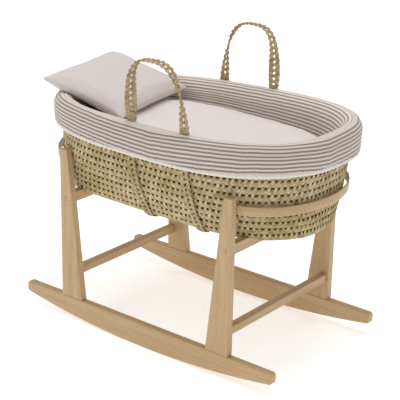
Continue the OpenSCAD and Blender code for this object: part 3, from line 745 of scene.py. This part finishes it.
def handleFrame(pivot, slope, back):
    # arch r = (|cos t|^n + |sin t|^n)^(-1/n), squarer on its first side; the strap has turned a quarter by
    # its top. Gives the path, and the directions across the strap and through it
    t = np.linspace(0, math.pi, 241)
    first = t < math.pi / 2
    n = np.where(first, *handle["square"])
    r = (np.abs(np.cos(t)) ** n + np.abs(np.sin(t)) ** n) ** (-1 / n)
    halfSpan = (handle["width"] - handle["strap"]) / 2
    up = r * np.sin(t)
    path = np.stack([-halfSpan * r * np.cos(t), 0 * t, (handle["height"] - handle["thick"]) * up], 1)
    bend = math.pi / 2 * np.sin(math.pi / 2 * np.clip(up, 0, 1) ** np.where(first, *handle["twist"]))
    bend = np.where(first, bend, math.pi - bend)
    sink = np.linspace(-handle["sink"] - 5.2, -0.6, 8)
    left = np.stack([np.full(8, -halfSpan), 0 * sink, sink], 1)
    path = np.concatenate([left, path, left[::-1] * [-1, 1, 1]])
    bend = np.concatenate([np.zeros(8), bend, np.full(8, math.pi)])
    tangent = np.gradient(path, axis=0)
    tangent /= np.linalg.norm(tangent, axis=1)[:, None]
    flat = np.stack([np.cos(bend), np.sin(bend), 0 * bend], 1)
    wide = flat - (flat * tangent).sum(1)[:, None] * tangent
    wide /= np.linalg.norm(wide, axis=1)[:, None]
    thick = np.cross(tangent, wide)
    out = math.radians(handle["restOut"])
    tip = np.array([[1, 0, 0], [0, math.cos(out), -math.sin(out)], [0, math.sin(out), math.cos(out)]])
    about = np.diag([-1.0, -1, 1] if back else [1.0, 1, 1])
    tilt = np.array([[math.cos(slope), 0, -math.sin(slope)], [0, 1, 0],
                     [math.sin(slope), 0, math.cos(slope)]])
    whole = tilt @ about @ tip
    return path @ whole.T + pivot, wide @ whole.T, thick @ whole.T


pivots = {j["child"]: j for j in frame["joints"]}
for name, side in sides.items():
    joint = pivots[name + "_handle"]
    pivot = np.array(joint["pos_m"]) * 1000
    slope = math.atan2(-side * joint["axis"][2], -side * joint["axis"][0])
    path, wide, thick = handleFrame(pivot, slope, side > 0)
    # how full the plait is along the handle
    scale = ([0, 0.05, 0.2, 0.35, 0.8, 0.93, 1], [1.04, 1.1, 1.1, 1.0, 0.96, 1.06, 1.1])
    parts = [plaitAlong(path, wide, thick, 5 + side, scale)]
    # binding: flat turns of leaf round the root of the strap
    a = np.linspace(0, turn, 25)[:-1]
    b = np.linspace(0, turn, 9)[:-1]
    for root, bands in zip((0, -1), handle["bands"][name]):
        tangent = (path[1] - path[0]) if root == 0 else (path[-2] - path[-1])
        tangent /= np.linalg.norm(tangent)
        for n in range(bands):
            centre = path[root] + tangent * (handle["sink"] + 4.5 + n * handle["bandStep"])
            around = (power(np.cos(a), 0.6) * handle["bandHalf"])[:, None] * wide[root] \
                + (power(np.sin(a), 0.7) * handle["bandDeep"])[:, None] * thick[root]
            outward = around / np.linalg.norm(around, axis=1)[:, None]
            slant = (1.0 * np.sin(a + n) + 0.5 * np.cos(2 * a + 3 * n))[:, None, None] * tangent[None, None]
            turns = (centre + around)[:, None] + (1.0 * np.cos(b))[None, :, None] * outward[:, None] \
                + (2.2 * np.sin(b))[None, :, None] * tangent[None, None] + slant
            uv = np.stack(np.broadcast_arrays(n + 40.0 * (root + 2) + np.linspace(0, 0.99, 9)[None],
                                              np.linspace(0, 3, 25)[:, None]), -1)
            parts.append(grid(turns, (True, True), uv))
    low = pivot - [0, 0, 6.5]
    high = pivot + [0, 0, 10]
    addPiece(f"handle_{name}_plait", parts, None, plaitPalm, ["handle_" + name],
             ("basket", name + "_handle", low / 1000, high / 1000))
    # slit: a corded edge round the opening that the strap comes out of
    parts = []
    for root in (0, -1):
        x = path[root][0]
        loopX = x + 15.6 * power(np.cos(a), 0.7)
        loopY = pivot[1] + 5.0 * power(np.sin(a), 0.8)
        crest = basket["crestZ"] + lean(loopX, loopY, basket["crestZ"]) - 0.018 * (loopY - pivot[1]) ** 2
        ring = np.stack([loopX, loopY, crest], 1)
        outward = np.stack([np.cos(a), np.sin(a), 0 * a], 1)
        tube = ring[:, None] + (1.5 * np.cos(b))[None, :, None] * outward[:, None] \
            + (1.3 * np.sin(b))[None, :, None] * np.array([0, 0, 1.0])
        parts.append(grid(tube, (True, True)))
    addPiece(f"slit_{name}_cord", parts, "basket", hemCloth)
print("straps and handles plaited")


# share is the way round the basket, from the foot end by the back, at which the next two lists are given
liner = dict(cols=1080, liningThick=22, gather=1.3,
             share=(0, 0.019, 0.1, 0.654, 0.714, 0.772, 0.837, 0.897, 0.943, 0.982, 1),
             stripeDown=(3, 2, 0, -2, 4, 8, -1.4, -4.8, -3.3, 4.2, 3),
             hemUp=(3.5, 3, 0, 0, 0, 0, 0, 5, 7, 4, 3.5))


def smoothLine(points, steps):
    # a cubic through each two points, with the slope between their neighbours, and its running length
    points = np.array(points, float)
    length = np.concatenate([[0], np.cumsum(np.linalg.norm(np.diff(points, axis=0), axis=1))])
    slope = np.gradient(points, length, axis=0)
    s = np.linspace(0, length[-1], steps)
    i = np.clip(np.searchsorted(length, s, side="right") - 1, 0, len(points) - 2)
    h = (length[i + 1] - length[i])[:, None]
    f = (s - length[i])[:, None] / h
    line = ((2 * f ** 3 - 3 * f ** 2 + 1) * points[i] + (f ** 3 - 2 * f ** 2 + f) * h * slope[i]
            + (3 * f ** 2 - 2 * f ** 3) * points[i + 1] + (f ** 3 - f ** 2) * h * slope[i + 1])
    return line, np.concatenate([[0], np.cumsum(np.linalg.norm(np.diff(line, axis=0), axis=1))])


def pulled(u, name):
    # how far the cloth is pulled down (stripeDown) or its hem has ridden up (hemUp), eased between the lists'
    # places in straight lines
    return np.interp(np.mod(u, 1), liner["share"], liner[name])


def linerBand(face, back, faceV, puff, isSkirt):
    # a padded band: its face (out, z) swells by puff(u, v) along its normal, and its back is plain. v is mm
    # from the crest. The skirt has been pulled about, and the lining's half length follows the wall's
    u = np.arange(liner["cols"])[None] / liner["cols"]
    t = evenAngle(u)
    tangent = np.gradient(face, axis=0)
    normal = np.stack([tangent[:, 1], -tangent[:, 0]], 1) / np.linalg.norm(tangent, axis=1)[:, None]
    swell = puff(u, faceV[:, None])
    out = np.concatenate([face[:, :1] + normal[:, :1] * swell, back[:, :1] + 0 * u])
    z = np.concatenate([face[:, 1:] + normal[:, 1:] * swell, back[:, 1:] + 0 * u])
    around = np.arange(liner["cols"] + 1)[None] / liner["cols"]
    if isSkirt:
        z = z + pulled(u, "hemUp") * np.clip((basket["crestZ"] - 22 - z) / 45, 0, 1)
        halfLong = basket["topL"] + out
        slipped = pulled(around, "stripeDown")
    else:
        halfLong = halfL(z) + out - (halfW(z) - basket["topW"])
        slipped = 0
    points = superRing(t, halfLong, basket["topW"] + out, z)
    v = np.concatenate([faceV, np.linspace(faceV[-1], faceV[0], len(back) + 1)])
    return points, np.stack(np.broadcast_arrays(around * perimeter, v[:, None] - slipped), -1)


hemZ, crestZ = basket["hemZ"], basket["crestZ"]
# Skirt: from the hem up over the crest, as (out, z) from the top of the wall's outer face
face, length = smoothLine([(17.0, hemZ + 9), (18.6, hemZ + 20), (19.8, hemZ + 36), (20.0, crestZ - 26),
                           (17.2, crestZ - 14), (11.2, crestZ - 6.0), (3.0, crestZ - 1.3),
                           (-5.7, crestZ - 1.0)], 46)
back = np.array([(-5.7, crestZ - 8.6), (3.0, crestZ - 10.0), (8.8, crestZ - 16), (10.8, crestZ - 27),
                 (8.8, hemZ + 9)])


def skirtPuff(u, v):
    # uneven padding, less a seam exp(-(v / 2.2)^2) at the crest, and gathers that die out 26 mm above the hem
    soft = 1.1 * ripple(u + v * 0.0004, (9, 14, 23, 31), 3) * np.clip(v / 20, 0, 1)
    fold = np.clip(1 - (length[-1] - v) / 26, 0, 1) ** 1.5
    gathers = liner["gather"] * fold * ripple(u, (88, 131, 173, 207), 5)
    seam = -0.4 * np.exp(-(v / 2.2) ** 2)
    return soft * 0.8 + gathers + seam


points, uv = linerBand(face, back, length[-1] - length, skirtPuff, True)
skirt = addPiece("skirt_padded", [grid(points, (True, True), uv)], "basket", skirtCloth,
                 ["liner_skirt"])

# Lining: over the border, down the inside of the wall to the floor, with long soft tucks
gap = basket["wall"] + 0.6
downWall = [crestZ - d for d in (34, 58, 90, 130, 180, 225)] + [floorHigh[2] + 0.8]
insideLine = [(halfW(z) - basket["topW"] - gap - liner["liningThick"] + 0.6, z) for z in downWall]
overBorder = [(-6.3, crestZ - 1.0), (-14.5, crestZ - 2.6), (-23.5, crestZ - 8.6), (-30, crestZ - 19)]
face, length = smoothLine(overBorder + insideLine, 90)
back = [(halfW(z) - basket["topW"] - gap - 0.6, z) for z in downWall[::-1]]
back = np.array(back + [(-21.4, basket["topZ"] - 4), (-21.2, crestZ - 14.5), (-6.4, crestZ - 8.6)])


def liningPuff(u, v):
    # the same padding and seam, but this face looks inwards, so its swell is negative
    soft = 1.2 * ripple(u + v * 0.0003, (7, 12, 19, 27), 13) * np.clip(v / 20, 0, 1)
    seam = -0.4 * np.exp(-(v / 2.2) ** 2)
    return -(soft * 0.8) - seam


points, uv = linerBand(face, back, length, liningPuff, False)
lining = addPiece("lining_padded", [grid(points, (True, True), uv)], "basket", liningClothPaintedLighter,
                  ["liner_lining", "liner_roll"])

# Hem: a gathered casing over elastic, a small ruffled tube along the skirt's lower edge
cols = 2600
u = np.arange(cols)[None] / cols
a = (np.arange(12) / 12 * turn)[:, None]
ruffle = 0.55 * ripple(u, (171, 233, 281), 21) + 0.5 * ripple(u, (9, 17), 22)
out = 13.6 + (4.3 + 0.9 * ruffle) * power(np.cos(a), 0.8)
z = (hemZ + 5.4 + (5.3 + 0.35 * ruffle) * power(np.sin(a), 0.8)
     + 0.5 * ripple(u, (5, 11), 23) + pulled(u, "hemUp"))
points = superRing(evenAngle(u), basket["topL"] + out, basket["topW"] + out, z)
addPiece("hem_gathered", [grid(points, (True, True))], "basket", hemCloth, ["hem_elastic"])
print("liner made")


def inflate(piece, voxel, cap):
    # remeshes a closed shape at voxel mm, swells it with Cloth, holds every point within cap mm of where it
    # began, and smooths it once
    remesh = piece.modifiers.new("remesh", "REMESH")
    remesh.mode = "VOXEL"
    remesh.voxel_size = voxel / 1000
    applyModifiers(piece)
    n = len(piece.data.vertices)
    before = np.zeros(n * 3, np.float32)
    piece.data.vertices.foreach_get("co", before)
    cloth = piece.modifiers.new("cloth", "CLOTH")
    cloth.settings.quality = 5
    cloth.settings.mass = 0.3
    cloth.settings.tension_stiffness = 12
    cloth.settings.compression_stiffness = 12
    cloth.settings.bending_stiffness = 0.3
    cloth.settings.use_pressure = True
    cloth.settings.uniform_pressure_force = 4.0
    cloth.settings.effector_weights.gravity = 0
    cloth.point_cache.frame_start = 1
    cloth.point_cache.frame_end = 20
    scene = bpy.context.scene
    for number in range(1, 21):
        scene.frame_set(number)
    applyModifiers(piece)
    scene.frame_set(1)
    after = np.zeros(n * 3, np.float32)
    piece.data.vertices.foreach_get("co", after)
    before, after = before.reshape(-1, 3), after.reshape(-1, 3)
    move = after - before
    size = np.linalg.norm(move, axis=1)[:, None]
    move *= np.minimum(1, cap / 1000 / np.maximum(size, 1e-9))
    piece.data.vertices.foreach_set("co", (before + move).ravel())
    smooth = piece.modifiers.new("smooth", "SUBSURF")
    smooth.levels = smooth.render_levels = 1
    applyModifiers(piece)
    piece.data.polygons.foreach_set("use_smooth", np.full(len(piece.data.polygons), True))


def reshape(piece, change):
    # passes all the piece's points, in mm, through change
    co = np.zeros(len(piece.data.vertices) * 3, np.float32)
    piece.data.vertices.foreach_get("co", co)
    moved = change(co.reshape(-1, 3).astype(float) * 1000) / 1000
    piece.data.vertices.foreach_set("co", moved.astype(np.float32).ravel())
    piece.data.update()


def stackOf(rings):
    # (half length, half width, z) rings from below to above, closed at both ends
    t = evenAngle(np.arange(160) / 160)[None]
    r = np.array(rings, float)[:, :, None]
    points = np.stack([basket["centreX"] + r[:, 0] * power(np.cos(t), 2 / basket["square"]),
                       r[:, 1] * power(np.sin(t), 2 / basket["square"]), r[:, 2] + 0 * t], -1)
    return grid(closed(points), (False, True))


# Mattress: a firm oval slab in ticking, with a corded seam round its top and bottom edges
mattressLow, mattressHigh = boxOf("mattress")
slabL, slabW = (mattressHigh[0] - mattressLow[0]) / 2, (mattressHigh[1] - mattressLow[1]) / 2
slabBase, slabTop = mattressLow[2], mattressHigh[2]
slab = addPiece("mattress_slab", [stackOf([
    (slabL - 16, slabW - 16, slabBase + 2), (slabL - 6, slabW - 6, slabBase + 3),
    (slabL - 4, slabW - 4, slabBase + 10), (slabL - 2.5, slabW - 2.5, (slabBase + slabTop) / 2),
    (slabL - 4, slabW - 4, slabTop - 12), (slabL - 6, slabW - 6, slabTop - 5),
    (slabL - 16, slabW - 16, slabTop - 3)])], "mattress", tickCotton, ["mattress"])
inflate(slab, 9, 3)
reshape(slab, lambda p: np.stack([p[:, 0], p[:, 1], np.clip(p[:, 2], slabBase + 0.3, slabTop - 0.4)], 1))
t = evenAngle(np.arange(420)[None] / 420)
a = (np.arange(8) / 8 * turn)[:, None]
out = -2.6 + 2.2 * np.cos(a)
cords = [grid(np.stack(np.broadcast_arrays(
    basket["centreX"] + (slabL + out) * power(np.cos(t), 2 / basket["square"]),
    (slabW + out) * power(np.sin(t), 2 / basket["square"]), z + 2.2 * np.sin(a)), -1), (True, True))
    for z in (slabBase + 7, slabTop - 8)]
addPiece("mattress_cord", cords, "mattress", hemCloth)

# Quilt: a filled cover that is tucked down all round, and crowned in the middle
quiltLow, quiltHigh = boxOf("quilt")
quiltL, quiltW = (quiltHigh[0] - quiltLow[0]) / 2, (quiltHigh[1] - quiltLow[1]) / 2
quiltBase, quiltTop = quiltLow[2], quiltHigh[2]
quilt = addPiece("quilt_cover", [stackOf([
    (quiltL - 30, quiltW - 30, quiltBase + 4), (quiltL - 14, quiltW - 16, quiltBase + 10),
    (quiltL - 9, quiltW - 12, quiltBase + 26), (quiltL - 7, quiltW - 9, quiltTop - 26),
    (quiltL - 7, quiltW - 8, quiltTop - 15), (quiltL - 13, quiltW - 14, quiltTop - 7),
    (quiltL - 60, quiltW - 60, quiltTop - 4), (quiltL * 0.4, quiltW * 0.4, quiltTop - 2)])],
    "quilt", quiltCottonPaintedLighter, ["quilt"])
inflate(quilt, 8, 7)


def layQuilt(p):
    # shallow folds across the cover, a sum of three slanting sines, and small tucks |sin 9a| round its edge;
    # it is flat below, where it lies on the mattress
    x, y, z = p[:, 0], p[:, 1], p[:, 2]
    top = between(z, quiltTop - 20, quiltTop - 4)
    u, v = x / 700, y / 400
    folds = (0.9 * np.sin(turn * (1.3 * u + 0.8 * v)) + 0.6 * np.sin(turn * (2.1 * u - 1.7 * v + 0.3))
             + 0.5 * np.sin(turn * (3.7 * v + 0.9 * u)))
    inner = 1 - between(np.sqrt((x / quiltL) ** 2 + (y / quiltW) ** 2), 0.75, 1.0)
    z = z + top * (folds * inner - 1.2 * (1 - inner) * np.abs(np.sin(9 * np.arctan2(y, x))))
    return np.stack([x, y, np.maximum(z, quiltBase + 0.3)], 1)


reshape(quilt, layQuilt)
print("mattress and quilt made")

# Pillow: two panels sewn at the edge, sides drawn in between pinched corners, one end up on the rim
pillow = dict(long=334, wide=258, thick=50,
              slope=15.5, turned=10.0, x=-290.0, y=0.0, z=602.5,    # degrees, and its middle's place
              ear=0.085)                                            # how far a corner is drawn out


def pillowShape():
    # at u and v, -1 to 1, each panel stands (1 - u^6)^0.5 (1 - v^6)^0.5 half thicknesses off the middle
    edge = np.sin(np.linspace(-math.pi / 2, math.pi / 2, 44))
    u, v = edge[:, None], edge[None]
    x = (pillow["wide"] / 2 - 3) * u * (1 - 0.025 * (1 - v ** 2))
    y = (pillow["long"] / 2 - 3) * v * (1 - 0.02 * (1 - u ** 2))
    high = 1.6 + (pillow["thick"] / 2 - 2) * np.sqrt(np.clip((1 - u ** 6) * (1 - v ** 6), 0, 1))
    top = np.stack(np.broadcast_arrays(x, y, high), -1)
    low = np.stack(np.broadcast_arrays(x, y, -high), -1)
    gusset = np.stack([np.concatenate([s[:, 0], s[-1, 1:], s[-2::-1, -1], s[0, -2:0:-1]])
                       for s in (top, low)])
    return [grid(top), grid(low), grid(gusset, (False, True))]


def placePillow(p):
    # draws the corners out into flat ears, then slopes and turns the pillow and sets it on the rim
    a, b = math.radians(pillow["slope"]), math.radians(pillow["turned"])
    x, y, z = p[:, 0], p[:, 1], p[:, 2]
    corner = np.clip(np.abs(2 * x / pillow["wide"]) * np.abs(2 * y / pillow["long"]), 0, 1) ** 3
    x, y, z = x * (1 + pillow["ear"] * corner), y * (1 + pillow["ear"] * corner), z * (1 - 0.45 * corner)
    x, z = x * math.cos(a) + z * math.sin(a), -x * math.sin(a) + z * math.cos(a)
    x, y = x * math.cos(b) - y * math.sin(b), x * math.sin(b) + y * math.cos(b)
    return np.stack([x + pillow["x"], y + pillow["y"], z + pillow["z"]], 1)


def rimHeight(x, y):
    # the liner's upper surface under a point, far below where the point is off the rim
    along, across = np.abs(x - basket["centreX"]), np.abs(y)
    n = basket["square"]
    size = ((along / basket["topL"]) ** n + (across / basket["topW"]) ** n) ** (1 / n)
    out = (size - 1) * (basket["topL"] * along + basket["topW"] * across) / np.maximum(along + across, 1)
    crown = np.interp(out, [-36, -31, -24, -15, -6, 3, 11, 17, 20.5, 21.5],
                      [-34, -19, -8, -2, 0, -0.5, -5, -13, -26, -300])
    crown = np.where(out < -36, -300, crown)
    return basket["crestZ"] + crown + lean(x, y, basket["crestZ"])


def settlePillow(p):
    # lifts what would sink into the rim or the quilt
    x, y = p[:, 0], p[:, 1]
    rest = rimHeight(x, y) + 1.0
    onQuilt = (np.abs(x - basket["centreX"]) / (quiltL - 4)) ** 2.7 + (np.abs(y) / (quiltW - 4)) ** 2.7 < 1
    rest = np.where(onQuilt, np.maximum(rest, quiltTop + 3.0), rest)
    return np.stack([x, y, np.maximum(p[:, 2], rest)], 1)


cushion = addPiece("pillow_cover", pillowShape(), "pillow", greigeCotton, ["pillow"])
inflate(cushion, 5, 6)
reshape(cushion, lambda p: settlePillow(placePillow(p)))
print("pillow made")


# Studio, in degrees and metres
studio = dict(azimuth=38.4, elevation=20.9, roll=1.2, distance=3.4089, aim=(0.0035, 0.0, 0.3417), lens=116.96,
              floor=30.0, floorZ=-0.0005, floorGlow=0.46, sky=0.50)

floor = bpy.data.objects.new("floor", bpy.data.meshes.new("floor"))
floor.data.from_pydata([(x * studio["floor"], y * studio["floor"], studio["floorZ"])
                        for x, y in ((-1, -1), (1, -1), (1, 1), (-1, 1))], [], [(0, 1, 2, 3)])
bpy.context.scene.collection.objects.link(floor)
# White studio paper, matt, lit enough by itself to fade out the shadows
floorPaper, tree = newMaterial("paleStudioFloor")
shader = addNode(tree, "BsdfPrincipled", None,
                 {"Base Color": "#fafafa", "Roughness": 0.9, "Specular IOR Level": 0.1,
                  "Emission Color": "#ffffff", "Emission Strength": studio["floorGlow"]})
addNode(tree, "OutputMaterial", None, {"Surface": shader.outputs[0]})
floor.data.materials.append(floorPaper)

world = bpy.data.worlds.new("studio")
world.use_nodes = True
world.node_tree.nodes["Background"].inputs[0].default_value = (1, 1, 1, 1)
world.node_tree.nodes["Background"].inputs[1].default_value = studio["sky"]
bpy.context.scene.world = world


def addLamp(name, place, size, watts):
    # a square lamp that faces the aim: tipped by its angle from straight up, then turned to its bearing
    lamp = bpy.data.lights.new(name, "AREA")
    lamp.size = size
    lamp.energy = watts
    piece = bpy.data.objects.new(name, lamp)
    bpy.context.scene.collection.objects.link(piece)
    away = np.array(place) - np.array(studio["aim"])
    level = math.hypot(away[0], away[1])
    piece.location = place
    piece.rotation_euler = (math.atan2(level, away[2]), 0, math.atan2(away[1], away[0]) + math.pi / 2)


addLamp("keyLight", (-1.3, -2.0, 3.3), 2.0, 16)
addLamp("topLight", (0.1, 0.1, 3.6), 2.4, 48)

az, el, roll = (math.radians(studio[k]) for k in ("azimuth", "elevation", "roll"))
back = np.array([math.sin(az) * math.cos(el), -math.cos(az) * math.cos(el), math.sin(el)])
right = np.cross(-back, [0, 0, 1.0])
right /= np.linalg.norm(right)
up = np.cross(back, right)
right, up = right * math.cos(roll) + up * math.sin(roll), -right * math.sin(roll) + up * math.cos(roll)
place = np.array(studio["aim"]) + back * studio["distance"]
camera = bpy.data.objects.new("camera", bpy.data.cameras.new("camera"))
camera.data.lens = studio["lens"]
camera.data.sensor_width = 36
camera.data.clip_end = 100
camera.matrix_world = Matrix([*zip(right, up, back, place), (0, 0, 0, 1)])
bpy.context.scene.collection.objects.link(camera)
bpy.context.scene.camera = camera
bpy.context.scene.view_settings.view_transform = "Standard"

print("scene ready")
